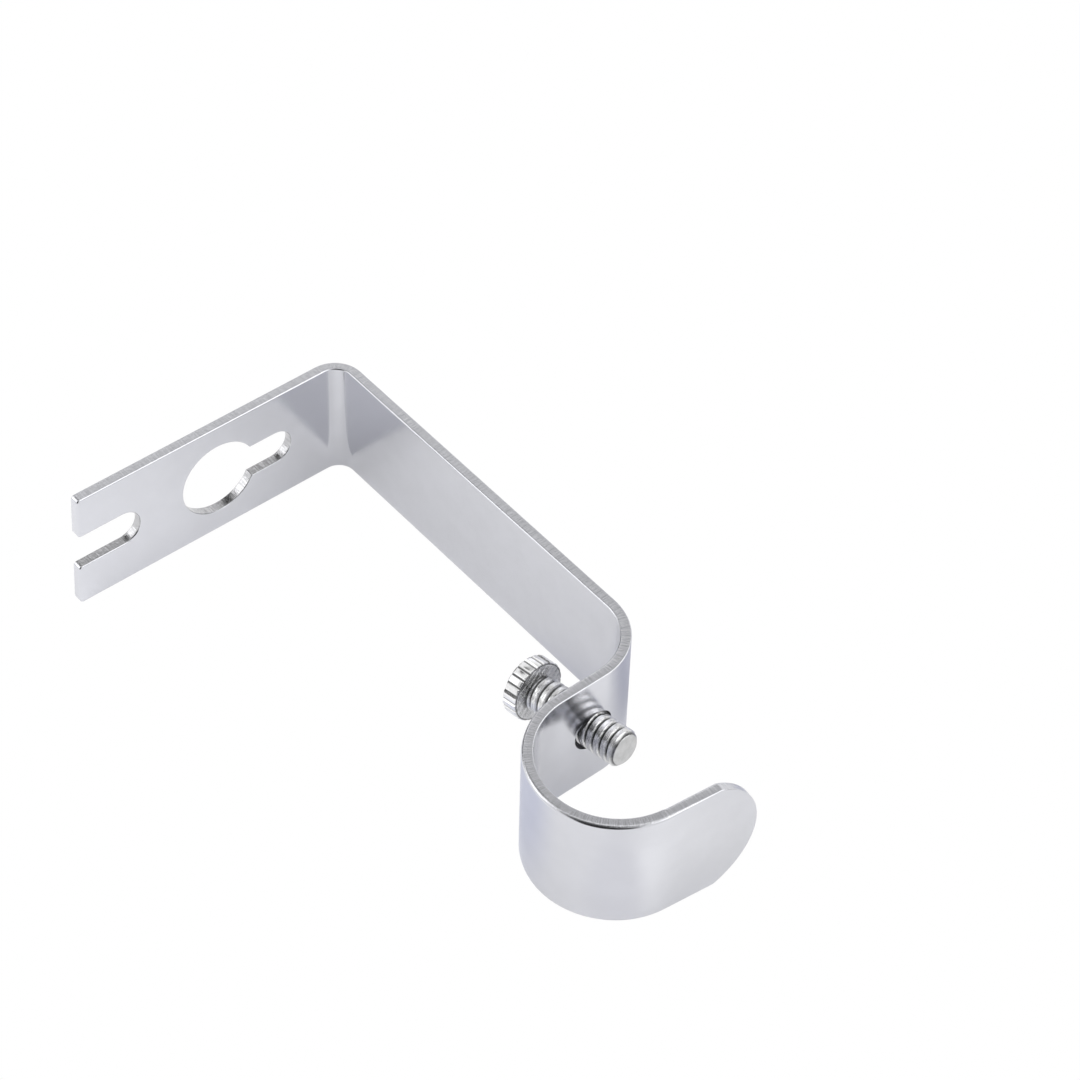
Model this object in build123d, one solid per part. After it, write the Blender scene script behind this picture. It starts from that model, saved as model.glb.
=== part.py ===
from build123d import *
import math
import os

# Bracket that carries a curtain rod in front of a wall. Sizes are in millimetres.
# The wall is the plane Y = 0, the bracket stands out towards -Y, +Z is up, and X = 0 is the middle of the strip.
# The origin is on the wall, where the wall screw's shank seats in the end of the keyhole's neck.
# A drop is a depth below the top face of the arm.

# Strip
strip_width = 20.0
strip_thickness = 1.6
edge_bevel = 0.2
corner_round = 0.6

# Side profile of the bent strip, in the middle of its width. The plate's free end is sheared a little off square.
# The sharp bend at the wall thins the strip, so both of its radii are given. Other radii are inside the bend.
plate_height = 47.7
free_end_slant_deg = 4.1
wall_bend_inner_radius = 2.6
wall_bend_outer_radius = 4.7
rod_reach = 82.5
rod_drop = 17.0
outer_bend_radius = 8.0
cup_radius = 10.9
cup_turn_deg = 174.0
lip_straight = 7.8
lip_end_rise = 6.4

# Keyhole and open slot in the wall plate
neck_width = 5.8
neck_end_drop = 13.5
key_hole_diameter = 12.6
key_hole_drop = 23.45
slot_width = 5.8
slot_end_drop = 40.1

# Thumbscrew
thread_diameter = 5.5
thread_clearance = 0.05
thread_hole_drop = 11.4
thread_hole_chamfer = 0.35
shank_length = 16.4
shank_tip_chamfer = 0.5
tip_reach = 6.6
head_diameter = 9.1
head_length = 2.45
head_chamfer = 0.3
knurl_grooves = 22
knurl_depth = 0.3
undercut_width = 0.4
undercut_depth = 0.35

# The screw is loose in its thread, and hangs tipped: its tip is up, and over to the -X side
lean_up_deg = 6.0
lean_side_deg = 6.0

# Heights and places that follow from the sizes above
arm_top_z = neck_end_drop
free_end_z = arm_top_z - plate_height
free_end_slope = math.tan(math.radians(free_end_slant_deg))
blank_end_z = free_end_z - strip_width / 2
rod_z = arm_top_z - rod_drop
thread_hole_z = arm_top_z - thread_hole_drop
drop_wall_reach = rod_reach - cup_radius
arm_straight_end = drop_wall_reach - strip_thickness - outer_bend_radius
drop_wall_middle = drop_wall_reach - strip_thickness / 2
through = 3 * strip_thickness

# The leaning shank needs a wider hole than an upright one
lean = math.acos(math.cos(math.radians(lean_up_deg)) * math.cos(math.radians(lean_side_deg)))
leaning_radius = (thread_diameter / 2 + strip_thickness / 2 * math.sin(lean)) / math.cos(lean)
thread_hole_radius = leaning_radius + thread_clearance


def rear_side_path():
    """The strip's wall side, from the blank's lower end to the tip of the lip, with the wall bend still sharp."""
    plate = Line((0, blank_end_z), (0, arm_top_z))
    arm = Line(plate @ 1, (-arm_straight_end, arm_top_z))
    outer_bend = JernArc(arm @ 1, (-1, 0), outer_bend_radius + strip_thickness, 90)
    drop_wall = Line(outer_bend @ 1, (-drop_wall_reach, rod_z))
    cup = JernArc(drop_wall @ 1, (0, -1), cup_radius, -cup_turn_deg)
    lip = Line(cup @ 1, cup @ 1 + (cup % 1) * (lip_straight + lip_end_rise))
    return Curve() + [plate, arm, outer_bend, drop_wall, cup, lip]


def bent_strip():
    """The side profile, given the strip's thickness, its wall bend rounded, and extruded over its width."""
    outline = offset(rear_side_path().wire(), strip_thickness, side=Side.LEFT, kind=Kind.INTERSECTION)
    profile = make_face(outline.edges())
    outer_corner = profile.vertices().sort_by_distance((0, arm_top_z))[0]
    profile = fillet(outer_corner, wall_bend_outer_radius)
    inner_corner = profile.vertices().sort_by_distance((-strip_thickness, arm_top_z - strip_thickness))[0]
    profile = fillet(inner_corner, wall_bend_inner_radius)
    return extrude(Plane.YZ * profile, strip_width / 2, both=True)


def lip_waste():
    """What is cut from the lip, so that it ends in one wide arc that meets each side of the strip at a corner."""
    lip = rear_side_path().edges()[-1]
    start = Vector(0, (lip @ 0).X, (lip @ 0).Y)
    along = Vector(0, (lip % 0).X, (lip % 0).Y)
    lip_plane = Plane(start, x_dir=(1, 0, 0), z_dir=Vector(1, 0, 0).cross(along))
    half = strip_width / 2
    tip = lip_straight + lip_end_rise
    arc = ThreePointArc((half, lip_straight), (0, tip), (-half, lip_straight))
    left = Polyline(arc @ 1, (-half - through, lip_straight), (-half - through, tip + through))
    right = Polyline(arc @ 0, (half + through, lip_straight), (half + through, tip + through))
    top = Line(left @ 1, right @ 1)
    return extrude(lip_plane * make_face([arc, left, right, top]), through, both=True)


def free_end_waste():
    """What is cut from the plate below its free end, which the slant brings lower on the +X side."""
    half = strip_width / 2 + through
    low_z = blank_end_z - through
    below = Polyline((-half, free_end_z + half * free_end_slope), (half, free_end_z - half * free_end_slope),
                     (half, low_z), (-half, low_z), close=True)
    return extrude(Plane.XZ * make_face(below.edges()), through, both=True)


def at_free_end(edge):
    middle = edge.center()
    return abs(middle.Z - free_end_z + middle.X * free_end_slope) < 1e-3


def round_ended_slot(width, end_drop, length):
    """A slot in the plate, up to a round end centred at the given drop."""
    end_z = arm_top_z - end_drop
    return Pos(0, end_z) * Circle(width / 2) + Pos(0, end_z - length / 2) * Rectangle(width, length)


def plate_cutouts():
    """The keyhole, and in line below it the slot that runs out at the plate's free end."""
    key_hole = Pos(0, arm_top_z - key_hole_drop) * Circle(key_hole_diameter / 2)
    neck = round_ended_slot(neck_width, neck_end_drop, key_hole_drop - neck_end_drop)
    open_slot = round_ended_slot(slot_width, slot_end_drop, arm_top_z - slot_end_drop - blank_end_z)
    return extrude(Plane.XZ * (key_hole + neck + open_slot), through, both=True)


def runs_through_thickness(edge):
    return edge.geom_type == GeomType.LINE and abs(edge.length - strip_thickness) < 1e-3


def is_bend_line(edge):
    """The lines across the strip where a bend begins or ends: the faces on both sides of them run on smoothly."""
    across = edge.geom_type == GeomType.LINE and abs((edge % 0.5).X) > 0.999
    return across and not at_free_end(edge)


def thread_hole():
    """The screw's hole, square to the dropped wall, chamfered at both faces for the tap."""
    mouth_reach = strip_thickness / 2 + thread_hole_chamfer
    hole_reach = strip_thickness / 2 - thread_hole_chamfer
    mouth_radius = thread_hole_radius + 2 * thread_hole_chamfer
    half_section = Polyline((0, -mouth_reach), (mouth_radius, -mouth_reach), (thread_hole_radius, -hole_reach),
                            (thread_hole_radius, hole_reach), (mouth_radius, mouth_reach), (0, mouth_reach), close=True)
    upright = revolve(Plane.XZ * make_face(half_section.edges()), Axis.Z)
    return Location(Plane((0, -drop_wall_middle, thread_hole_z), z_dir=(0, -1, 0))) * upright


def bracket_strip():
    """One length of flat steel, cut to its outline, pierced, its edges eased, bent and tapped."""
    strip = bent_strip() - plate_cutouts() - free_end_waste() - lip_waste()
    prong_corners = [e for e in strip.edges() if runs_through_thickness(e) and at_free_end(e)]
    strip = fillet(prong_corners, corner_round)
    outline = [e for e in strip.edges() if not runs_through_thickness(e) and not is_bend_line(e)]
    strip = chamfer(outline, edge_bevel)
    return strip - thread_hole()


def knurled_head():
    """The head, with straight V grooves round its rim."""
    head = Pos(0, 0, -head_length) * extrude(Circle(head_diameter / 2), head_length)
    head = chamfer(head.edges().filter_by(GeomType.CIRCLE), head_chamfer)
    groove = Rot(0, 0, 45) * Rectangle(knurl_depth * 2**0.5, knurl_depth * 2**0.5)
    grooves = PolarLocations(head_diameter / 2, knurl_grooves) * groove
    return head - Pos(0, 0, -head_length) * extrude(Sketch() + grooves, head_length)


def thumbscrew_shape():
    """The screw upright: tip up, and the middle of the wall that it goes through at height 0."""
    shank = extrude(Circle(thread_diameter / 2), shank_length)
    shank = chamfer(shank.edges().sort_by(Axis.Z)[-1], shank_tip_chamfer)
    undercut = extrude(Circle(thread_diameter) - Circle(thread_diameter / 2 - undercut_depth), undercut_width)
    return Pos(0, 0, tip_reach - shank_length) * (shank - undercut + knurled_head())


def thumbscrew():
    """The screw, tipped as it hangs in its thread."""
    up = math.radians(lean_up_deg)
    side = math.radians(lean_side_deg)
    tip_direction = (-math.sin(side), -math.cos(up) * math.cos(side), math.sin(up) * math.cos(side))
    return Location(Plane((0, -drop_wall_middle, thread_hole_z), z_dir=tip_direction)) * thumbscrew_shape()


os.makedirs("parts", exist_ok=True)
export_step(bracket_strip(), "parts/bracket_strip.step")
export_step(thumbscrew(), "parts/thumbscrew.step")
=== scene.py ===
import math

import bmesh
import bpy
from mathutils import Matrix, Vector


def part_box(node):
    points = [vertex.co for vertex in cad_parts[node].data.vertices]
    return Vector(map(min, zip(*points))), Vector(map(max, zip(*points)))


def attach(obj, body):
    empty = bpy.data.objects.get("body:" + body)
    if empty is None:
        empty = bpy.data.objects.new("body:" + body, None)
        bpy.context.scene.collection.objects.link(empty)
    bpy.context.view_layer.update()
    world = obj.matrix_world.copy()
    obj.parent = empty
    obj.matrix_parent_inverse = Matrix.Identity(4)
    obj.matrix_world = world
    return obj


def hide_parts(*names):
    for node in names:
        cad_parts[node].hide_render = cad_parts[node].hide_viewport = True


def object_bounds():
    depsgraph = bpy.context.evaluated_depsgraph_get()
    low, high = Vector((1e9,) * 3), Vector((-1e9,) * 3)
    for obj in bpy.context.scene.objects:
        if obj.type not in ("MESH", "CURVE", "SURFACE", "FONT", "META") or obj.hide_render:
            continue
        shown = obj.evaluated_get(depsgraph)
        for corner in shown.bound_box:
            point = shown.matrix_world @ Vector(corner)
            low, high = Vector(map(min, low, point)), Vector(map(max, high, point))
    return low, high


bl_info = {
    "name": "Curtain Rod Bracket",
    "version": (1, 0, 0),
    "blender": (4, 5, 0),
    "location": "3D View > Sidebar > Bracket",
    "description": "Models a plated curtain rod bracket with its thumbscrew, and sets up its studio",
    "category": "Add Mesh",
}

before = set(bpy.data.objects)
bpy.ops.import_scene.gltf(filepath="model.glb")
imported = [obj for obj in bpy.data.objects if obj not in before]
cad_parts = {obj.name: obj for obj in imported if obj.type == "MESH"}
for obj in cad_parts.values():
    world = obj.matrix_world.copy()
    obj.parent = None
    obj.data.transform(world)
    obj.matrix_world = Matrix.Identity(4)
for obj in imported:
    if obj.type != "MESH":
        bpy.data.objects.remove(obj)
cad_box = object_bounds()
strip_low, strip_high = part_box("bracket_strip")

MM = 0.001

# Places this near each other count as one, and lengths this near as equal
SAME_PLACE = 1e-5
EQUAL = 1e-6

# How many flat facets stand for each round shape, and the angles between faces that part smooth from sharp
WALL_BEND_STEPS = 14
OUTER_BEND_STEPS = 28
CUP_STEPS = 60
HOLE_SIDES = 72
LIP_ARC_SIDES = 144
SHANK_SIDES = 96
THREAD_STEPS = 72
SMOOTH_BELOW = math.radians(35)
SHARP_ABOVE = math.radians(40)

# Length of the tools that cut right through the strip, and of the block that cuts its lip
CUTTER = 8 * MM
LIP_BLOCK = 6 * MM

# The rolled edge is at its widest at this angle round the cup. At the outer bend and at the lip it has this share.
WIDEST_ROLL = math.radians(128)
BEND_SHARE = 0.35


class StripSettings(bpy.types.PropertyGroup):
    width: bpy.props.FloatProperty(
        name="Width", description="Width of the steel strip", unit="LENGTH", default=strip_high.x - strip_low.x)
    thickness: bpy.props.FloatProperty(
        name="Thickness", description="Thickness of the steel strip", unit="LENGTH", default=1.6 * MM)
    rolled_edge: bpy.props.FloatProperty(
        name="Rolled edge", description="Radius of the edges of the plate's front and the cup's outside",
        unit="LENGTH", default=0.26 * MM)
    cup_edge: bpy.props.FloatProperty(
        name="Cup edge", description="Radius of the rolled edge round the bottom of the cup", unit="LENGTH",
        default=0.65 * MM)
    eased_edge: bpy.props.FloatProperty(
        name="Eased edge", description="Radius of the other edges", unit="LENGTH", default=0.15 * MM)
    corner_round: bpy.props.FloatProperty(
        name="Corner round", description="Radius of the corners at the free end", unit="LENGTH", default=0.6 * MM)
    free_end: bpy.props.FloatProperty(
        name="Free end", description="Height of the wall plate's free end, in the middle of its width",
        unit="LENGTH", default=-34.2 * MM)
    free_end_slant: bpy.props.FloatProperty(
        name="Free end slant", description="Angle of the free end off square", subtype="ANGLE",
        default=math.radians(4.1))
    arm_top: bpy.props.FloatProperty(
        name="Arm top", description="Height of the arm's upper face", unit="LENGTH", default=strip_high.z)
    wall_bend_inside: bpy.props.FloatProperty(
        name="Wall bend, inside", description="Inner radius of the bend at the wall", unit="LENGTH",
        default=2.6 * MM)
    wall_bend_outside: bpy.props.FloatProperty(
        name="Wall bend, outside", description="Outer radius of the bend at the wall", unit="LENGTH",
        default=4.7 * MM)
    outer_bend: bpy.props.FloatProperty(
        name="Outer bend", description="Inner radius of the bend at the arm's end", unit="LENGTH",
        default=8.0 * MM)
    rod_reach: bpy.props.FloatProperty(
        name="Rod reach", description="Distance of the rod's middle from the wall", unit="LENGTH",
        default=82.5 * MM)
    rod_height: bpy.props.FloatProperty(
        name="Rod height", description="Height of the rod's middle", unit="LENGTH", default=-3.5 * MM)
    cup_radius: bpy.props.FloatProperty(
        name="Cup", description="Inner radius of the cup", unit="LENGTH", default=10.9 * MM)
    cup_turn: bpy.props.FloatProperty(
        name="Cup turn", description="Angle that the cup turns through", subtype="ANGLE",
        default=math.radians(174.0))
    lip_straight: bpy.props.FloatProperty(
        name="Lip side", description="Length of the lip's straight sides", unit="LENGTH", default=7.8 * MM)
    lip_rise: bpy.props.FloatProperty(
        name="Lip rise", description="Rise of the arc that ends the lip", unit="LENGTH", default=6.4 * MM)
    key_hole: bpy.props.FloatProperty(
        name="Keyhole", description="Diameter of the keyhole's round part", unit="LENGTH", default=12.6 * MM)
    key_hole_height: bpy.props.FloatProperty(
        name="Keyhole height", description="Height of the middle of the round part", unit="LENGTH",
        default=-9.95 * MM)
    neck: bpy.props.FloatProperty(
        name="Neck", description="Width of the keyhole's neck", unit="LENGTH", default=5.8 * MM)
    slot: bpy.props.FloatProperty(
        name="Slot", description="Width of the slot at the free end", unit="LENGTH", default=5.8 * MM)
    slot_height: bpy.props.FloatProperty(
        name="Slot height", description="Height of the middle of the slot's round end", unit="LENGTH",
        default=-26.6 * MM)
    thread_hole: bpy.props.FloatProperty(
        name="Thread hole", description="Radius of the screw's hole", unit="LENGTH", default=2.94 * MM)
    thread_hole_chamfer: bpy.props.FloatProperty(
        name="Hole chamfer", description="Chamfer at both ends of the screw's hole", unit="LENGTH",
        default=0.35 * MM)


class ScrewSettings(bpy.types.PropertyGroup):
    hole_height: bpy.props.FloatProperty(
        name="Hole height", description="Height of the screw's hole", unit="LENGTH", default=2.1 * MM)
    hole_reach: bpy.props.FloatProperty(
        name="Hole reach", description="Distance of the screw's hole from the wall", unit="LENGTH",
        default=70.8 * MM)
    lean_up: bpy.props.FloatProperty(
        name="Lean up", description="Angle of the tip above level", subtype="ANGLE", default=math.radians(6.0))
    lean_side: bpy.props.FloatProperty(
        name="Lean aside", description="Angle of the tip to one side", subtype="ANGLE", default=math.radians(6.0))
    tip_reach: bpy.props.FloatProperty(
        name="Tip reach", description="Length of shank past the middle of the wall", unit="LENGTH",
        default=6.6 * MM)
    shank_length: bpy.props.FloatProperty(
        name="Shank length", description="Length of the shank under the head", unit="LENGTH", default=16.4 * MM)
    thread: bpy.props.FloatProperty(
        name="Thread", description="Diameter over the thread", unit="LENGTH", default=5.5 * MM)
    pitch: bpy.props.FloatProperty(
        name="Pitch", description="Distance from one turn of the thread to the next", unit="LENGTH",
        default=1.3 * MM)
    thread_depth: bpy.props.FloatProperty(
        name="Thread depth", description="Depth of the thread's groove", unit="LENGTH", default=0.4 * MM)
    tip_chamfer: bpy.props.FloatProperty(
        name="Tip chamfer", description="Chamfer at the tip", unit="LENGTH", default=0.5 * MM)
    undercut_width: bpy.props.FloatProperty(
        name="Undercut width", description="Width of the undercut below the head", unit="LENGTH",
        default=0.4 * MM)
    undercut_depth: bpy.props.FloatProperty(
        name="Undercut depth", description="Depth of the undercut below the head", unit="LENGTH",
        default=0.35 * MM)
    head: bpy.props.FloatProperty(
        name="Head", description="Diameter of the head", unit="LENGTH", default=9.1 * MM)
    head_length: bpy.props.FloatProperty(
        name="Head length", description="Thickness of the head", unit="LENGTH", default=2.45 * MM)
    head_chamfer: bpy.props.FloatProperty(
        name="Head chamfer", description="Chamfer round both faces of the head", unit="LENGTH",
        default=0.25 * MM)
    knurl_grooves: bpy.props.IntProperty(
        name="Grooves", description="Number of grooves round the head", default=22, min=6)
    knurl_depth: bpy.props.FloatProperty(
        name="Groove depth", description="Depth of the grooves round the head", unit="LENGTH",
        default=0.3 * MM)


class FinishSettings(bpy.types.PropertyGroup):
    plating: bpy.props.FloatVectorProperty(
        name="Plating", description="Colour of the bright plating", subtype="COLOR",
        default=(0.68, 0.685, 0.725))
    sheared: bpy.props.FloatVectorProperty(
        name="Sheared edges", description="Colour of the plated sheared edges", subtype="COLOR",
        default=(0.82, 0.825, 0.865))
    pierced: bpy.props.FloatVectorProperty(
        name="Pierced edges", description="Colour of the walls of the keyhole and the slot", subtype="COLOR",
        default=(0.74, 0.74, 0.76))
    # Painted shade: the near-black walls of the screw's hole stand for the shade in the gap round the screw
    tapped: bpy.props.FloatVectorProperty(
        name="Tapped hole", description="Colour of the walls of the screw's hole", subtype="COLOR",
        default=(0.04, 0.04, 0.045))
    screw: bpy.props.FloatVectorProperty(
        name="Screw", description="Colour of the screw's plating", subtype="COLOR",
        default=(0.88, 0.88, 0.885))


class StudioSettings(bpy.types.PropertyGroup):
    camera_place: bpy.props.FloatVectorProperty(
        name="Camera place", description="Where the camera stands", subtype="TRANSLATION", unit="LENGTH",
        default=(-0.31398, -0.265132, -0.174293))
    camera_turn: bpy.props.FloatVectorProperty(
        name="Camera turn", description="The camera's rotation about X, Y and Z", subtype="EULER",
        default=tuple(math.radians(a) for a in (134.7733, -50.6153, -91.8302)))
    camera_lens: bpy.props.FloatProperty(
        name="Lens", description="Focal length in millimetres, for a sensor 36 mm wide", default=100.951)
    floor_size: bpy.props.FloatProperty(
        name="Floor size", description="Side of the square floor", unit="LENGTH", default=6.0)
    background: bpy.props.FloatVectorProperty(
        name="Background", description="Colour behind the object", subtype="COLOR", default=(1.0, 1.0, 1.0))
    floor: bpy.props.FloatVectorProperty(
        name="Floor", description="Colour of the floor", subtype="COLOR", default=(0.9, 0.9, 0.9))
    card: bpy.props.FloatVectorProperty(
        name="Card", description="Colour of the card beside the object", subtype="COLOR",
        default=(0.95, 0.95, 0.95))
    card_glow: bpy.props.FloatProperty(
        name="Card glow", description="Share of the card's light that is its own, and that no shadow takes away",
        default=0.25, min=0, max=1)
    card_edge: bpy.props.FloatVectorProperty(
        name="Card edge", description="The card's corner below the cup, past which the metal sees the room",
        subtype="TRANSLATION", unit="LENGTH", default=(0, -0.22, -0.14))
    card_gap: bpy.props.FloatProperty(
        name="Card gap", description="Distance of the card from the strip's side", unit="LENGTH", default=1.0 * MM)
    room: bpy.props.FloatVectorProperty(
        name="Room", description="Colour of the room that the metal sees", subtype="COLOR",
        default=(0.95, 0.95, 0.95))
    lamp_power: bpy.props.FloatProperty(
        name="Lamp", description="Power of the soft lamp in watts", default=1.0)
    card_lamp_power: bpy.props.FloatProperty(
        name="Card lamp", description="Power in watts of the lamp that lights the card, unseen by the metal",
        default=0.17)


# Selection and small steps

def deselect_all():
    active = bpy.context.view_layer.objects.active
    if active and active.mode != "OBJECT":
        bpy.ops.object.mode_set(mode="OBJECT")
    bpy.ops.object.select_all(action="DESELECT")


def work_on(piece):
    deselect_all()
    piece.select_set(True)
    bpy.context.view_layer.objects.active = piece


def open_mesh(piece, element="FACE"):
    """Goes into edit mode on a piece, with nothing selected."""
    work_on(piece)
    bpy.ops.object.mode_set(mode="EDIT")
    bpy.ops.mesh.select_mode(type=element)
    bpy.ops.mesh.select_all(action="DESELECT")


def pick(test):
    """Selects the faces, edges or points of the open mesh that pass a test."""
    data = bpy.context.object.data
    mesh = bmesh.from_edit_mesh(data)
    points, edges = bpy.context.tool_settings.mesh_select_mode[:2]
    parts = mesh.verts if points else mesh.edges if edges else mesh.faces
    for part in parts:
        part.select_set(test(part))
    picked = any(part.select for part in parts)
    mesh.select_flush_mode()
    bmesh.update_edit_mesh(data)
    if not picked:
        raise RuntimeError("nothing was selected on " + bpy.context.object.name)


def pick_all():
    bpy.ops.mesh.select_all(action="SELECT")


def close_mesh():
    bpy.ops.object.mode_set(mode="OBJECT")


def face_at(place, normal):
    """A test for the face whose middle is at a place and that looks along a normal."""
    place = Vector(place)
    normal = Vector(normal)
    return lambda face: (face.calc_center_median() - place).length < SAME_PLACE and face.normal.dot(normal) > 0.99


def middle(edge):
    return (edge.verts[0].co + edge.verts[1].co) / 2


def extrude(*move):
    """Extrudes what is selected in the open mesh, and moves it."""
    bpy.ops.mesh.extrude_region_move(TRANSFORM_OT_translate={"value": move})


def face_outwards():
    pick_all()
    bpy.ops.mesh.normals_make_consistent(inside=False)


def apply_modifier(piece, kind, **settings):
    work_on(piece)
    modifier = piece.modifiers.new(kind.lower(), kind)
    for name, value in settings.items():
        setattr(modifier, name, value)
    bpy.ops.object.modifier_apply(modifier=modifier.name)


def combine(piece, tool, operation):
    """Cuts the tool out of the piece, or joins it on, and the tool is used up."""
    apply_modifier(piece, "BOOLEAN", object=tool, operation=operation, solver="EXACT", material_mode="TRANSFER")
    bpy.data.objects.remove(tool)


def merge_close(piece, distance):
    open_mesh(piece, "VERT")
    pick_all()
    bpy.ops.mesh.remove_doubles(threshold=distance)
    close_mesh()


def apply_place(piece):
    work_on(piece)
    bpy.ops.object.transform_apply(location=True, rotation=True, scale=True)


def add_cylinder(sides, radius, depth, finish, place, turn=(0, 0, 0)):
    """A round blank at its place, with one finish all over."""
    deselect_all()
    bpy.ops.mesh.primitive_cylinder_add(vertices=sides, radius=radius, depth=depth, location=place, rotation=turn)
    cylinder = bpy.context.object
    apply_place(cylinder)
    cylinder.data.materials.append(finish)
    return cylinder


def add_block(size, finish, place, turn):
    """A square blank at its place, with one finish all over."""
    deselect_all()
    bpy.ops.mesh.primitive_cube_add(size=1, location=place, rotation=turn)
    block = bpy.context.object
    block.scale = size
    apply_place(block)
    block.data.materials.append(finish)
    return block


# Materials

def add_node(tree, kind, inputs=None, **options):
    """Adds a shader node, with each of its named inputs linked to a socket or set to a value."""
    node = tree.nodes.new("ShaderNode" + kind)
    for name, value in options.items():
        setattr(node, name, value)
    for name, value in (inputs or {}).items():
        connect(tree, node.inputs[name], value)
    return node


def connect(tree, socket, value):
    if isinstance(value, bpy.types.NodeSocket):
        tree.links.new(value, socket)
    else:
        socket.default_value = value


def calculate(tree, operation, *values):
    return add_node(tree, "Math", dict(enumerate(values)), operation=operation).outputs[0]


def spread(tree, value, low, high, new_low=0.0, new_high=1.0):
    """Maps a value smoothly from one range to another, and holds it there."""
    node = add_node(tree, "MapRange", {"Value": value, "From Min": low, "From Max": high, "To Min": new_low,
                                       "To Max": new_high}, interpolation_type="SMOOTHSTEP")
    return node.outputs["Result"]


def blend_colours(tree, factor, first, second):
    node = tree.nodes.new("ShaderNodeMix")
    node.data_type = "RGBA"
    for socket, value in ((node.inputs[0], factor), (node.inputs[6], first), (node.inputs[7], second)):
        connect(tree, socket, value if isinstance(value, (float, bpy.types.NodeSocket)) else (*value, 1.0))
    return node.outputs[2]


def start_group(name, inputs, output):
    """A new node group with named inputs and one output, and the sockets to link inside it."""
    group = bpy.data.node_groups.new(name, "ShaderNodeTree")
    for label, kind, value in inputs:
        socket = group.interface.new_socket(name=label, in_out="INPUT", socket_type="NodeSocket" + kind)
        socket.default_value = value
    group.interface.new_socket(name=output, in_out="OUTPUT", socket_type="NodeSocketFloat")
    return group, group.nodes.new("NodeGroupInput").outputs, group.nodes.new("NodeGroupOutput").inputs


def soft_clouds():
    """Soft patches of a given size, from 0 to 1."""
    group, given, result = start_group("soft_clouds", (("Vector", "Vector", (0, 0, 0)),
                                                       ("Size", "Float", 5 * MM)), "Clouds")
    scale = calculate(group, "DIVIDE", 1.0, given["Size"])
    place = add_node(group, "VectorMath", {0: given["Vector"], "Scale": scale}, operation="SCALE").outputs[0]
    noise = add_node(group, "TexNoise", {"Vector": place, "Scale": 1.0, "Detail": 2.0, "Roughness": 0.45})
    connect(group, result["Clouds"], spread(group, noise.outputs["Fac"], 0.3, 0.7))
    return group


def drawn_lines():
    """Fine lines with a given number to the metre on each axis, from 0 to 1. A low number draws them out."""
    group, given, result = start_group("drawn_lines", (("Vector", "Vector", (0, 0, 0)),
                                                       ("Lines per metre", "Vector", (1000, 1000, 1000))), "Lines")
    place = add_node(group, "VectorMath", {0: given["Vector"], 1: given["Lines per metre"]},
                     operation="MULTIPLY").outputs[0]
    noise = add_node(group, "TexNoise", {"Vector": place, "Scale": 1.0, "Detail": 3.0, "Roughness": 0.6})
    connect(group, result["Lines"], spread(group, noise.outputs["Fac"], 0.32, 0.68))
    return group


def place_group(tree, make, **inputs):
    """Places a shared node group, which is built the first time it is asked for."""
    group = bpy.data.node_groups.get(make.__name__) or make()
    node = add_node(tree, "Group", node_tree=group)
    for name, value in inputs.items():
        connect(tree, node.inputs[name.replace("_", " ")], value)
    return node.outputs[0]


def new_material(name, metallic=1.0):
    material = bpy.data.materials.new(name)
    material.use_nodes = True
    tree = material.node_tree
    shader = tree.nodes["Principled BSDF"]
    shader.inputs["Metallic"].default_value = metallic
    return material, tree, shader


def matt_material(name):
    material, tree, shader = new_material(name, metallic=0.0)
    shader.inputs["Roughness"].default_value = 1.0
    return material, tree, shader


def shade(colour, share):
    return tuple(part * share for part in colour)


def roughen(tree, shader, mask, least, most):
    """Roughness that goes from its least to its most as a mask goes from 0 to 1."""
    connect(tree, shader.inputs["Roughness"], spread(tree, mask, 0.0, 1.0, least, most))


def raise_surface(tree, shader, reliefs):
    """Adds reliefs to the surface, each a height from 0 to 1 and how many metres it stands for."""
    normal = None
    for height, distance in reliefs:
        bump = add_node(tree, "Bump", {"Height": height, "Distance": distance, "Strength": 1.0})
        if normal:
            connect(tree, bump.inputs["Normal"], normal)
        normal = bump.outputs["Normal"]
    connect(tree, shader.inputs["Normal"], normal)


def flat_strip(tree):
    return add_node(tree, "Attribute", attribute_name="flat_place").outputs["Vector"]


def plated_material(settings):
    """Bright plating over rolled steel: slightly wavy, with a faint haze and rolling lines."""
    material, tree, shader = new_material("bright_plating")
    place = flat_strip(tree)
    haze = place_group(tree, soft_clouds, Vector=place, Size=3.5 * MM)
    waves = place_group(tree, soft_clouds, Vector=place, Size=9 * MM)
    rolling = place_group(tree, drawn_lines, Vector=place, Lines_per_metre=(90, 2600, 90))
    colour = blend_colours(tree, haze, settings.plating, shade(settings.plating, 0.975))
    connect(tree, shader.inputs["Base Color"], colour)
    roughen(tree, shader, haze, least=0.14, most=0.18)
    raise_surface(tree, shader, ((waves, 0.005 * MM), (rolling, 0.0003 * MM)))
    return material


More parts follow.
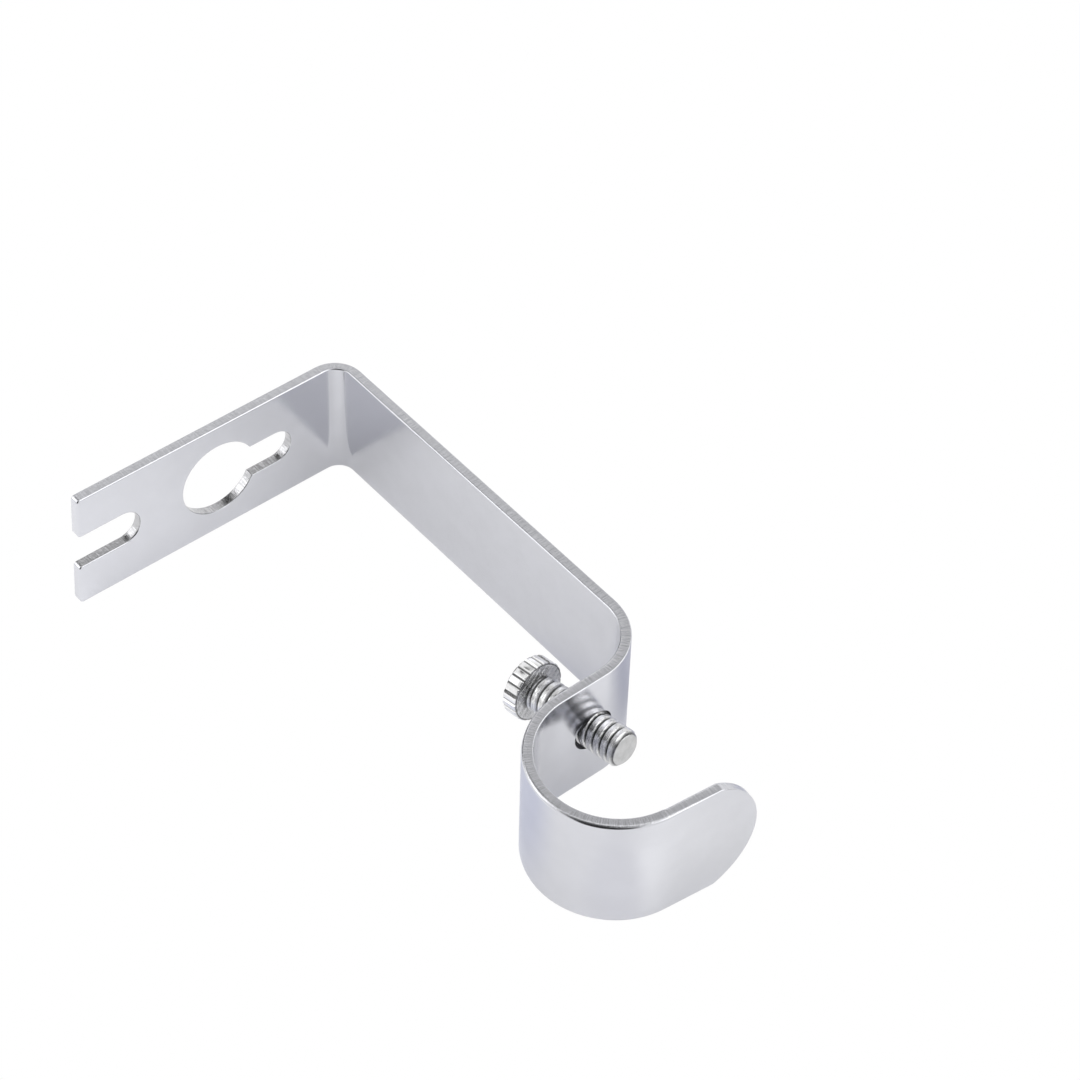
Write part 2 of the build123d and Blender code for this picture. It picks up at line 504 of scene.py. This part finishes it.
def sheared_material(name, colour, contrast, relief, dents, roughness):
    """A sheared edge under the plating: dents, fine marks through the thickness, and a duller torn band."""
    material, tree, shader = new_material(name)
    place = flat_strip(tree)
    marks = place_group(tree, drawn_lines, Vector=place, Lines_per_metre=(7500, 7500, 350))
    grain = place_group(tree, drawn_lines, Vector=place, Lines_per_metre=(8000, 8000, 6000))
    depth = add_node(tree, "SeparateXYZ", {0: place}).outputs["Z"]
    # The shear cuts cleanly to this depth, more or less, and tears the rest
    wandering = calculate(tree, "MULTIPLY_ADD", marks, 0.3 * MM, depth)
    torn = spread(tree, wandering, 0.95 * MM, 1.25 * MM)
    streaks = blend_colours(tree, marks, shade(colour, 1 - contrast), colour)
    speckle = calculate(tree, "MULTIPLY", grain, contrast)
    connect(tree, shader.inputs["Base Color"], blend_colours(tree, speckle, streaks, shade(colour, 0.4)))
    roughen(tree, shader, torn, least=roughness, most=roughness + 0.1)
    uneven = place_group(tree, soft_clouds, Vector=place, Size=0.5 * MM)
    raise_surface(tree, shader, ((uneven, dents), (marks, relief), (grain, relief)))
    return material


def tapped_material(settings):
    """The walls of the tapped hole, painted near black as painted shade in the gap round the screw."""
    material, tree, shader = new_material("painted_hole_shade")
    place = add_node(tree, "TexCoord").outputs["Object"]
    turns = place_group(tree, drawn_lines, Vector=place, Lines_per_metre=(400, 2500, 400))
    colour = blend_colours(tree, turns, shade(settings.tapped, 0.5), settings.tapped)
    connect(tree, shader.inputs["Base Color"], colour)
    roughen(tree, shader, turns, least=0.25, most=0.4)
    raise_surface(tree, shader, ((turns, 0.02 * MM),))
    return material


def screw_material(settings, screw, place):
    """Plated turned steel: fine lines round its axis, and painted shade in the thread's and the knurl's grooves.
    """
    material, tree, shader = new_material("turned_plating", metallic=0.9)
    upright = add_node(tree, "Mapping", {"Vector": add_node(tree, "TexCoord").outputs["Object"],
                                         "Location": place.to_translation(), "Rotation": place.to_euler()},
                       vector_type="TEXTURE").outputs[0]
    parts = add_node(tree, "SeparateXYZ", {0: upright}).outputs
    height = parts["Z"]
    across = add_node(tree, "CombineXYZ", {"X": parts["X"], "Y": parts["Y"]}).outputs[0]
    radius = add_node(tree, "VectorMath", {0: across}, operation="LENGTH").outputs["Value"]
    ring = add_node(tree, "CombineXYZ", {"X": radius, "Z": height}).outputs[0]
    lines = place_group(tree, drawn_lines, Vector=ring, Lines_per_metre=(5000, 5000, 5000))
    grain = place_group(tree, drawn_lines, Vector=upright, Lines_per_metre=(900, 900, 3600))
    on_shank = calculate(tree, "GREATER_THAN", height, 0.0)

    # Painted shade: the thread's groove is darkened from its root nearly up to its crest, and so are the grooves
    # of the knurl
    rim = screw.thread / 2
    root = spread(tree, radius, rim - screw.thread_depth, rim - 0.04 * MM, 1.0, 0.0)
    below_tip = calculate(tree, "LESS_THAN", height, screw.shank_length - 0.05 * MM)
    root = calculate(tree, "MULTIPLY", calculate(tree, "MULTIPLY", root, on_shank), below_tip)
    rim = screw.head / 2
    groove = spread(tree, radius, rim - screw.knurl_depth, rim - 0.05 * MM, 1.0, 0.0)
    on_rim = calculate(tree, "GREATER_THAN", radius, rim - 1.1 * screw.knurl_depth)
    groove = calculate(tree, "MULTIPLY", groove, on_rim)
    painted_groove_shade = calculate(tree, "MAXIMUM", root, groove)
    colour = blend_colours(tree, painted_groove_shade, settings.screw, shade(settings.screw, 0.14))

    # The tip's cut face is painted darker, and the shank is rough from the die
    tip = calculate(tree, "GREATER_THAN", height, screw.shank_length - 0.02 * MM)
    colour = blend_colours(tree, calculate(tree, "MULTIPLY", tip, 0.75), colour, shade(settings.screw, 0.5))
    rough = calculate(tree, "MULTIPLY", grain, on_shank)
    colour = blend_colours(tree, calculate(tree, "MULTIPLY", rough, 0.35), colour, shade(settings.screw, 0.35))
    connect(tree, shader.inputs["Base Color"], colour)
    roughen(tree, shader, lines, least=0.1, most=0.22)
    raise_surface(tree, shader, ((lines, 0.004 * MM), (rough, 0.035 * MM)))
    return material


# The strip

def lip_frame(settings):
    """Where the lip begins, midway through its thickness, and the directions along it and out of it."""
    turn = Matrix.Rotation(-settings.cup_turn, 3, "X")
    centre = Vector((0, -settings.rod_reach, settings.rod_height))
    start = centre + turn @ Vector((0, settings.cup_radius + settings.thickness / 2, 0))
    along = turn @ Vector((0, 0, -1))
    return start, along, along.cross(Vector((1, 0, 0)))


def bent_blank(settings, plated, sheared):
    """The strip from end to end, with its bends, before it is pierced."""
    thick = settings.thickness
    bend_start = -(settings.rod_reach - settings.cup_radius - thick - settings.outer_bend)
    deselect_all()
    bpy.ops.mesh.primitive_plane_add(size=1, location=(0, bend_start, settings.arm_top - thick / 2),
                                     rotation=(math.radians(90), 0, 0))
    strip = bpy.context.object
    strip.name = strip.data.name = "plated_strip"
    strip.scale = (settings.width, thick, 1)
    apply_place(strip)
    strip.data.materials.append(plated)
    strip.data.materials.append(sheared)

    # The arm, the square corner at the wall and the wall plate
    open_mesh(strip)
    pick_all()
    extrude(0, -bend_start - thick, 0)
    extrude(0, thick, 0)
    face_outwards()
    pick(face_at((0, -thick / 2, settings.arm_top - thick), (0, 0, -1)))
    extrude(0, 0, settings.free_end + thick - settings.arm_top)
    pick(lambda face: face.calc_center_median().y > bend_start + SAME_PLACE)
    bpy.ops.mesh.dissolve_limited(angle_limit=math.radians(1))

    # The free end is sheared off square, and is lower on the +X side
    bpy.ops.mesh.select_mode(type="VERT")
    slant = settings.width / 2 * math.tan(settings.free_end_slant)
    for side in (1, -1):
        pick(lambda vertex: vertex.co.z < settings.free_end + slant + SAME_PLACE and vertex.co.x * side > 0)
        bpy.ops.transform.translate(value=(0, 0, -side * slant))
    bpy.ops.mesh.select_mode(type="FACE")

    # The outer bend, the dropped wall, the cup and the lip
    pick(face_at((0, bend_start, settings.arm_top - thick / 2), (0, -1, 0)))
    bend_middle = settings.arm_top - thick - settings.outer_bend
    bpy.ops.mesh.spin(steps=OUTER_BEND_STEPS, angle=math.radians(90), center=(0, bend_start, bend_middle),
                      axis=(-1, 0, 0))
    extrude(0, 0, settings.rod_height - bend_middle)
    bpy.ops.mesh.spin(steps=CUP_STEPS, angle=settings.cup_turn,
                      center=(0, -settings.rod_reach, settings.rod_height), axis=(1, 0, 0))
    along = lip_frame(settings)[1]
    extrude(*along * (settings.lip_straight + settings.lip_rise))
    pick_all()
    bpy.ops.mesh.remove_doubles(threshold=EQUAL)
    face_outwards()

    # The strip's sides are sheared
    pick(lambda face: abs(face.normal.x) > 0.9)
    bpy.context.object.active_material_index = 1
    bpy.ops.object.material_slot_assign()

    # The corner at the wall is rounded, outside and inside
    bpy.ops.mesh.select_mode(type="EDGE")
    for y, z, radius in ((0, settings.arm_top, settings.wall_bend_outside),
                         (-thick, settings.arm_top - thick, settings.wall_bend_inside)):
        corner = Vector((0, y, z))
        pick(lambda edge: (middle(edge) - corner).length < SAME_PLACE)
        bpy.ops.mesh.bevel(offset_type="OFFSET", offset=radius, segments=WALL_BEND_STEPS, profile=0.5,
                           affect="EDGES")
    close_mesh()
    return strip


def round_cutter(radius, height, pierced):
    """A round tool that stands through the wall plate at a height."""
    half_step = math.pi / HOLE_SIDES
    return add_cylinder(HOLE_SIDES, radius, CUTTER, pierced, (0, 0, height), (math.radians(90), half_step, 0))


def slot_cutter(radius, height, length, pierced):
    """A round tool drawn out downwards into a slot."""
    cutter = round_cutter(radius, height, pierced)
    open_mesh(cutter, "VERT")
    pick(lambda vertex: vertex.co.z < height)
    bpy.ops.transform.translate(value=(0, 0, -length))
    close_mesh()
    return cutter


def lip_cutter(settings, sheared):
    """A block with a round bay, that leaves the lip with one wide arc at its end."""
    half = settings.width / 2
    rise = settings.lip_rise
    radius = (half * half + rise * rise) / (2 * rise)
    start, along, out = lip_frame(settings)
    bay = start + along * (settings.lip_straight + rise - radius)
    tilt = Matrix((Vector((1, 0, 0)), along, -out)).transposed().to_euler()
    length = radius + CUTTER
    block = add_block((settings.width + LIP_BLOCK, length, LIP_BLOCK), sheared, bay + along * length / 2, tilt)
    disc = add_cylinder(LIP_ARC_SIDES, radius, CUTTER, sheared, bay, tilt)
    combine(block, disc, "DIFFERENCE")
    return block


def tap_cutter(settings, screw, tapped):
    """A round tool that widens at both ends, for the screw's hole."""
    radius = settings.thread_hole
    chamfer = settings.thread_hole_chamfer
    depth = settings.thickness - 2 * chamfer
    place = Vector((0, -screw.hole_reach, screw.hole_height))
    cutter = add_cylinder(SHANK_SIDES, radius, depth, tapped, place, (math.radians(90), 0, 0))
    open_mesh(cutter)
    wider = (radius + 2 * chamfer) / radius
    for side in (1, -1):
        pick(face_at(place + Vector((0, side * depth / 2, 0)), (0, side, 0)))
        extrude(0, side * 2 * chamfer, 0)
        bpy.ops.transform.resize(value=(wider, 1, wider), center_override=place)
    close_mesh()
    return cutter


def flat_place(settings, point):
    """Where a point of the bent strip was on the flat strip: along it from the free end, and down into it."""
    thick = settings.thickness
    half = thick / 2
    corner = settings.wall_bend_inside + thick
    y, z = point.y, point.z
    drop = settings.rod_reach - settings.cup_radius
    bend_start = -(drop - thick - settings.outer_bend)
    plate_end = settings.arm_top - corner
    if y > -corner and z < plate_end:
        return z - settings.free_end, -y
    run = plate_end - settings.free_end
    if y > -corner:
        angle = math.atan2(z - plate_end, y + corner)
        return run + angle * (corner - half), corner - math.hypot(y + corner, z - plate_end)
    run += math.radians(90) * (corner - half)
    if y > bend_start:
        return run - corner - y, settings.arm_top - z
    run += -bend_start - corner
    bend_middle = settings.arm_top - thick - settings.outer_bend
    outer = settings.outer_bend + thick
    if z > bend_middle and y > -drop - half:
        angle = math.atan2(bend_start - y, z - bend_middle)
        return run + angle * (outer - half), outer - math.hypot(y - bend_start, z - bend_middle)
    run += math.radians(90) * (outer - half)
    if z > settings.rod_height and y > -settings.rod_reach:
        return run + bend_middle - z, y + drop
    run += bend_middle - settings.rod_height
    start, along, out = lip_frame(settings)
    past = (point - start).dot(along)
    if y < -settings.rod_reach and past > 0:
        run += settings.cup_turn * (settings.cup_radius + half)
        return run + past, (point - start).dot(out) + half
    dy, dz = y + settings.rod_reach, z - settings.rod_height
    angle = math.atan2(-dz, dy) % (2 * math.pi)
    return run + angle * (settings.cup_radius + half), math.hypot(dy, dz) - settings.cup_radius


def rolled_radius(settings, along):
    """The rolled edge's radius at a place along the strip: it grows round the outer bend and the cup."""
    thick = settings.thickness
    drop = settings.rod_reach - settings.cup_radius
    widest = Vector((0, settings.cup_radius * math.cos(WIDEST_ROLL) - settings.rod_reach,
                     settings.rod_height - settings.cup_radius * math.sin(WIDEST_ROLL)))
    points = ((Vector((0, settings.outer_bend + thick - drop, settings.arm_top)), 0.0),
              (Vector((0, -drop, settings.arm_top - thick - settings.outer_bend)), BEND_SHARE),
              (Vector((0, -drop, settings.rod_height)), BEND_SHARE), (widest, 1.0),
              (lip_frame(settings)[0], BEND_SHARE))
    stations = [(flat_place(settings, point)[0], share) for point, share in points]
    share = 0.0 if along < stations[0][0] else stations[-1][1]
    for (start, first), (end, second) in zip(stations, stations[1:]):
        if start <= along < end:
            share = first + (second - first) * (along - start) / (end - start)
    return settings.rolled_edge + (settings.cup_edge - settings.rolled_edge) * share


def weigh_edges(settings, strip):
    """The shear rolls the outline over on one side of the strip. Its other edges are nearly sharp."""
    mesh = bmesh.new()
    mesh.from_mesh(strip.data)
    weight = mesh.edges.layers.float.new("bevel_weight_edge")
    for edge in mesh.edges:
        if edge.calc_face_angle(0.0) > SHARP_ABOVE:
            along, down = flat_place(settings, middle(edge))
            radius = rolled_radius(settings, along)
            pierced = any(face.material_index > 1 for face in edge.link_faces)
            key_hole = pierced and middle(edge).z > settings.slot_height + settings.slot
            at_one_x = abs(edge.verts[0].co.x - edge.verts[1].co.x) < EQUAL
            through = at_one_x and down < settings.thickness * 0.7
            if key_hole or through or down < settings.thickness / 2:
                radius = settings.eased_edge
            edge[weight] = radius / settings.cup_edge
    mesh.to_mesh(strip.data)
    mesh.free()


def lay_flat(settings, strip):
    """Stores each point's place on the flat strip, which the finish follows round the bends."""
    attribute = strip.data.attributes.new("flat_place", "FLOAT_VECTOR", "POINT")
    for vertex, place in zip(strip.data.vertices, attribute.data):
        along, down = flat_place(settings, vertex.co)
        place.vector = (along, vertex.co.x, down)


class BRACKET_OT_bend_strip(bpy.types.Operator):
    """Bends, pierces and eases the strip, and plates it"""
    bl_idname = "bracket.bend_strip"
    bl_label = "Bend the Strip"

    def execute(self, context):
        settings = context.scene.bracket_strip
        finish = context.scene.bracket_finish
        plated = plated_material(finish)
        sheared = sheared_material("sheared_edge", finish.sheared, contrast=0.24, relief=0.004 * MM,
                                   dents=0.006 * MM, roughness=0.17)
        pierced = sheared_material("pierced_edge", finish.pierced, contrast=0.4, relief=0.005 * MM,
                                   dents=0.014 * MM, roughness=0.06)
        strip = bent_blank(settings, plated, sheared)
        combine(strip, round_cutter(settings.key_hole / 2, settings.key_hole_height, pierced), "DIFFERENCE")
        combine(strip, slot_cutter(settings.neck / 2, 0, -settings.key_hole_height, pierced), "DIFFERENCE")
        slot_length = settings.slot_height - settings.free_end + CUTTER / 2
        combine(strip, slot_cutter(settings.slot / 2, settings.slot_height, slot_length, pierced), "DIFFERENCE")
        combine(strip, lip_cutter(settings, sheared), "DIFFERENCE")
        merge_close(strip, 0.06 * MM)
        self.round_corners(settings, strip)
        weigh_edges(settings, strip)
        apply_modifier(strip, "BEVEL", width=settings.cup_edge, segments=4, limit_method="WEIGHT",
                       use_clamp_overlap=False, loop_slide=False)
        combine(strip, tap_cutter(settings, context.scene.bracket_screw, tapped_material(finish)), "DIFFERENCE")
        self.smooth(strip)
        lay_flat(settings, strip)
        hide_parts("bracket_strip")
        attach(strip, "strip")
        return {"FINISHED"}

    def round_corners(self, settings, strip):
        """The corners of the two prongs."""
        open_mesh(strip, "EDGE")
        slope = math.tan(settings.free_end_slant)
        pick(lambda edge: abs(middle(edge).z - settings.free_end + middle(edge).x * slope) < SAME_PLACE
             and abs(edge.calc_length() - settings.thickness) < EQUAL)
        bpy.ops.mesh.bevel(offset_type="OFFSET", offset=settings.corner_round, segments=5, profile=0.5,
                           affect="EDGES")
        close_mesh()

    def smooth(self, strip):
        work_on(strip)
        bpy.ops.object.shade_smooth_by_angle(angle=SMOOTH_BELOW)
        apply_modifier(strip, "WEIGHTED_NORMAL", keep_sharp=True, weight=80)


# The screw

def head_blank(settings, finish):
    """The head with its chamfered rims, its face to the shank at height 0, and V grooves round it."""
    rim = settings.head / 2
    middle_height = -settings.head_length / 2
    head = add_cylinder(settings.knurl_grooves * 6, rim, settings.head_length, finish, (0, 0, middle_height))
    open_mesh(head, "EDGE")
    pick(lambda edge: abs(edge.verts[0].co.z - edge.verts[1].co.z) < EQUAL)
    bpy.ops.mesh.bevel(offset_type="OFFSET", offset=settings.head_chamfer, segments=2, profile=0.5, affect="EDGES")
    close_mesh()

    side = settings.knurl_depth * math.sqrt(2)
    groove = add_block((side, side, settings.head_length + 2 * MM), finish, (rim, 0, middle_height),
                       (0, 0, math.radians(45)))
    open_mesh(groove)
    pick_all()
    gaps = settings.knurl_grooves - 1
    bpy.ops.mesh.spin(steps=gaps, dupli=True, angle=2 * math.pi * gaps / settings.knurl_grooves,
                      center=(0, 0, 0), axis=(0, 0, 1))
    close_mesh()
    combine(head, groove, "DIFFERENCE")
    return head


def thread_cutter(settings, finish):
    """A V groove that winds round the shank, with its root and the edges of its crest eased."""
    half = ((-settings.thread_depth, 0.05 * MM), (-0.1 * MM, 0.22 * MM), (0.05 * MM, 0.34 * MM),
            (0.35 * MM, 0.34 * MM))
    outline = [(out, -up) for out, up in half] + list(reversed(half))
    deselect_all()
    bpy.ops.mesh.primitive_circle_add(vertices=len(outline), radius=1 * MM, fill_type="NOTHING",
                                      location=(0, 0, 0))
    cutter = bpy.context.object
    cutter.data.materials.append(finish)
    for vertex, (out, up) in zip(cutter.data.vertices, outline):
        vertex.co = (settings.thread / 2 + out, 0, up)
    turns = math.ceil(settings.shank_length / settings.pitch) + 2
    apply_modifier(cutter, "SCREW", axis="Z", angle=2 * math.pi, screw_offset=settings.pitch, iterations=turns,
                   steps=THREAD_STEPS, render_steps=THREAD_STEPS, use_smooth_shade=True)
    open_mesh(cutter)
    pick_all()
    bpy.ops.mesh.fill_holes(sides=0)
    face_outwards()
    close_mesh()
    cutter.location = (0, 0, -settings.pitch)
    apply_place(cutter)
    return cutter


def shank_blank(settings, finish):
    """The plain shank, from inside the head over the undercut to its chamfered tip."""
    inside = 0.6 * MM
    slope = 0.1 * MM
    width = settings.undercut_width
    narrow = settings.thread / 2 - settings.undercut_depth
    shank = add_cylinder(SHANK_SIDES, narrow, width + inside, finish, (0, 0, (width - inside) / 2))
    open_mesh(shank)
    pick(face_at((0, 0, width), (0, 0, 1)))
    wider = settings.thread / 2 / narrow
    extrude(0, 0, slope)
    bpy.ops.transform.resize(value=(wider, wider, 1), center_override=(0, 0, 0))
    extrude(0, 0, settings.shank_length - width - slope)
    bpy.ops.mesh.select_mode(type="EDGE")
    pick(lambda edge: all(vertex.co.z > settings.shank_length - EQUAL for vertex in edge.verts))
    bpy.ops.mesh.bevel(offset_type="OFFSET", offset=settings.tip_chamfer, segments=1, affect="EDGES")
    close_mesh()
    return shank


def screw_place(settings):
    """From the upright screw, with its head's face at height 0, to its leaning place in the wall."""
    side, up = settings.lean_side, settings.lean_up
    tip = Vector((-math.sin(side), -math.cos(up) * math.cos(side), math.sin(up) * math.cos(side)))
    turn = tip.to_track_quat("Z", "Y").to_matrix().to_4x4()
    hole = Vector((0, -settings.hole_reach, settings.hole_height))
    return Matrix.Translation(hole + tip * (settings.tip_reach - settings.shank_length)) @ turn


class BRACKET_OT_make_thumbscrew(bpy.types.Operator):
    """Turns, threads and knurls the thumbscrew, and sets it in its hole"""
    bl_idname = "bracket.make_thumbscrew"
    bl_label = "Make the Thumbscrew"

    def execute(self, context):
        settings = context.scene.bracket_screw
        finish = screw_material(context.scene.bracket_finish, settings, screw_place(settings))
        screw = shank_blank(settings, finish)
        screw.name = screw.data.name = "turned_thumbscrew"
        combine(screw, thread_cutter(settings, finish), "DIFFERENCE")
        combine(screw, head_blank(settings, finish), "UNION")
        merge_close(screw, 0.001 * MM)
        screw.matrix_world = screw_place(settings)
        apply_place(screw)
        bpy.ops.object.shade_smooth_by_angle(angle=SMOOTH_BELOW)
        apply_modifier(screw, "WEIGHTED_NORMAL", keep_sharp=True)
        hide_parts("thumbscrew")
        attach(screw, "screw")
        return {"FINISHED"}


# The studio

# Soft lights and dark parts of the room, as metal sees them: direction, where each is full and where it ends in
# degrees from its middle, and its brightness
ROOM = (((-0.52, -0.73, 0.45), 14, 32, 1.9),
        ((-0.35, -0.42, 0.84), 18, 32, 0.35),
        ((-0.84, 0.37, 0.4), 5, 22, 0.5),
        ((-0.82, 0.55, -0.04), 11, 16, 0.01),
        ((-0.64, -0.42, -0.65), 27, 42, 0.04),
        ((-0.2, -0.64, -0.74), 24, 36, 0.04),
        ((-0.15, 0.97, -0.05), 12, 22, 0.02),
        ((-0.45, 0.62, -0.64), 15, 20, 2.0),
        ((-0.66, -0.7, -0.28), 7, 16, 0.55))

# Painted shade and painted light on the card, darker and lighter places: Y and Z of the middle, how far from it
# each is full and where it ends, in metres, and its colour. A later one covers an earlier one.
CARD_SHADE_AND_LIGHT = (((-0.060, 0.040), 0.020, 0.036, (0.56, 0.57, 0.65)),
         ((-0.062, -0.018), 0.006, 0.022, (0.76, 0.78, 0.88)),
         ((-0.096, 0.002), 0.008, 0.024, (1.1, 1.1, 1.09)),
         ((-0.098, -0.016), 0.004, 0.011, (0.885, 0.885, 0.9)))

# The light that the card gets where nothing shades it, which its own light stands for
OPEN_LIGHT = 0.9

# Place of each lamp, and how wide it is
SOFT_LAMP = ((-0.35, -0.3, 0.5), 0.5)
CARD_LAMP = ((-0.17, -0.01, -0.08), 0.12)


class BRACKET_OT_set_up_studio(bpy.types.Operator):
    """Sets up the floor, the white card, the room, the lamps and the camera"""
    bl_idname = "bracket.set_up_studio"
    bl_label = "Set Up the Studio"

    def execute(self, context):
        settings = context.scene.bracket_studio
        self.add_world(context, settings)
        self.add_floor(settings)
        self.add_card(settings)
        self.add_lamp("soft_lamp", *SOFT_LAMP, settings.lamp_power)
        card_lamp = self.add_lamp("card_lamp", *CARD_LAMP, settings.card_lamp_power)
        card_lamp.visible_glossy = False
        self.add_camera(context, settings)
        context.scene.view_settings.view_transform = "Standard"
        return {"FINISHED"}

    def add_world(self, context, settings):
        """White to the camera, and to the metal a plain room with soft lights."""
        world = bpy.data.worlds.new("studio_world")
        world.use_nodes = True
        context.scene.world = world
        tree = world.node_tree
        room = add_node(tree, "TexCoord").outputs["Generated"]
        colour = settings.room
        for direction, full, ends, brightness in ROOM:
            towards = Vector(direction).normalized()
            near = add_node(tree, "VectorMath", {0: room, 1: towards}, operation="DOT_PRODUCT").outputs["Value"]
            mask = spread(tree, near, math.cos(math.radians(ends)), math.cos(math.radians(full)))
            colour = blend_colours(tree, mask, colour, (brightness, brightness, brightness))
        seen = add_node(tree, "LightPath").outputs["Is Camera Ray"]
        background = tree.nodes["Background"].inputs
        connect(tree, background["Color"], blend_colours(tree, seen, colour, settings.background))
        background["Strength"].default_value = 1.0

    def add_floor(self, settings):
        """A floor that is seen from above, with the object's shadow on it, and is clear from below."""
        deselect_all()
        bpy.ops.mesh.primitive_plane_add(size=settings.floor_size, location=(0, 0, cad_box[0][2]))
        floor = bpy.context.object
        floor.name = "studio_floor"
        material, tree, shader = matt_material("white_floor")
        shader.inputs["Base Color"].default_value = (*settings.floor, 1.0)
        clear = add_node(tree, "BsdfTransparent").outputs[0]
        below = add_node(tree, "NewGeometry").outputs["Backfacing"]
        mix = add_node(tree, "MixShader", {0: below, 1: shader.outputs[0], 2: clear})
        connect(tree, tree.nodes["Material Output"].inputs["Surface"], mix.outputs[0])
        floor.data.materials.append(material)
        floor.visible_glossy = False
        floor.visible_shadow = False
        floor.visible_diffuse = False

    def add_card(self, settings):
        """A matt white card close by one side of the strip, seen only by the metal, with painted shade and light.
        """
        deselect_all()
        side = cad_box[1][0] + settings.card_gap
        edge = Vector(settings.card_edge)
        half = settings.floor_size / 2
        bpy.ops.mesh.primitive_plane_add(size=settings.floor_size, rotation=(0, math.radians(-90), 0),
                                         location=(side, edge.y + half, edge.z + half))
        card = bpy.context.object
        card.name = "white_card"
        apply_place(card)
        material, tree, shader = matt_material("matt_card")
        place = add_node(tree, "TexCoord").outputs["Object"]
        colour = settings.card
        # Painted shade and painted light: darker and lighter patches in the card's colour, which the metal
        # reflects
        for centre, full, ends, painted_shade_and_light in CARD_SHADE_AND_LIGHT:
            far = add_node(tree, "VectorMath", {0: place, 1: (side, *centre)}, operation="DISTANCE")
            mask = spread(tree, far.outputs["Value"], full, ends, 1.0, 0.0)
            colour = blend_colours(tree, mask, colour, painted_shade_and_light)
        connect(tree, shader.inputs["Base Color"], blend_colours(tree, settings.card_glow, colour, (0, 0, 0)))
        connect(tree, shader.inputs["Emission Color"], colour)
        shader.inputs["Emission Strength"].default_value = settings.card_glow * OPEN_LIGHT
        card.data.materials.append(material)
        card.visible_camera = False
        card.visible_diffuse = False
        card.visible_transmission = False
        card.visible_shadow = False

    def add_lamp(self, name, place, size, power):
        """A round soft lamp that shines towards the object."""
        deselect_all()
        place = Vector(place)
        bpy.ops.object.light_add(type="AREA", location=place, rotation=place.to_track_quat("Z", "Y").to_euler())
        lamp = bpy.context.object
        lamp.name = name
        lamp.data.shape = "DISK"
        lamp.data.size = size
        lamp.data.energy = power
        return lamp

    def add_camera(self, context, settings):
        deselect_all()
        bpy.ops.object.camera_add(location=settings.camera_place, rotation=settings.camera_turn)
        holder = context.object
        holder.name = "studio_camera"
        holder.data.sensor_width = 36.0
        holder.data.lens = settings.camera_lens
        holder.data.clip_start = 0.01
        holder.data.clip_end = 20.0
        context.scene.camera = holder


class BRACKET_PT_steps(bpy.types.Panel):
    """Lists the steps that make the bracket, with their sizes and colours"""
    bl_idname = "BRACKET_PT_steps"
    bl_label = "Curtain Rod Bracket"
    bl_space_type = "VIEW_3D"
    bl_region_type = "UI"
    bl_category = "Bracket"

    def draw(self, context):
        scene = context.scene
        for step, settings in (("bracket.bend_strip", scene.bracket_strip),
                               ("bracket.make_thumbscrew", scene.bracket_screw),
                               (None, scene.bracket_finish),
                               ("bracket.set_up_studio", scene.bracket_studio)):
            box = self.layout.box()
            if step:
                box.operator(step)
            for name in settings.bl_rna.properties.keys():
                if name not in ("rna_type", "name"):
                    box.prop(settings, name)


CLASSES = (StripSettings, ScrewSettings, FinishSettings, StudioSettings, BRACKET_OT_bend_strip,
           BRACKET_OT_make_thumbscrew, BRACKET_OT_set_up_studio, BRACKET_PT_steps)
POINTERS = {"bracket_strip": StripSettings, "bracket_screw": ScrewSettings, "bracket_finish": FinishSettings,
            "bracket_studio": StudioSettings}


def register():
    for cls in CLASSES:
        bpy.utils.register_class(cls)
    for name, group in POINTERS.items():
        setattr(bpy.types.Scene, name, bpy.props.PointerProperty(type=group))


def unregister():
    for name in POINTERS:
        delattr(bpy.types.Scene, name)
    for cls in reversed(CLASSES):
        bpy.utils.unregister_class(cls)


def main():
    register()
    bpy.ops.bracket.bend_strip()
    bpy.ops.bracket.make_thumbscrew()
    bpy.ops.bracket.set_up_studio()


if __name__ == "__main__":
    main()
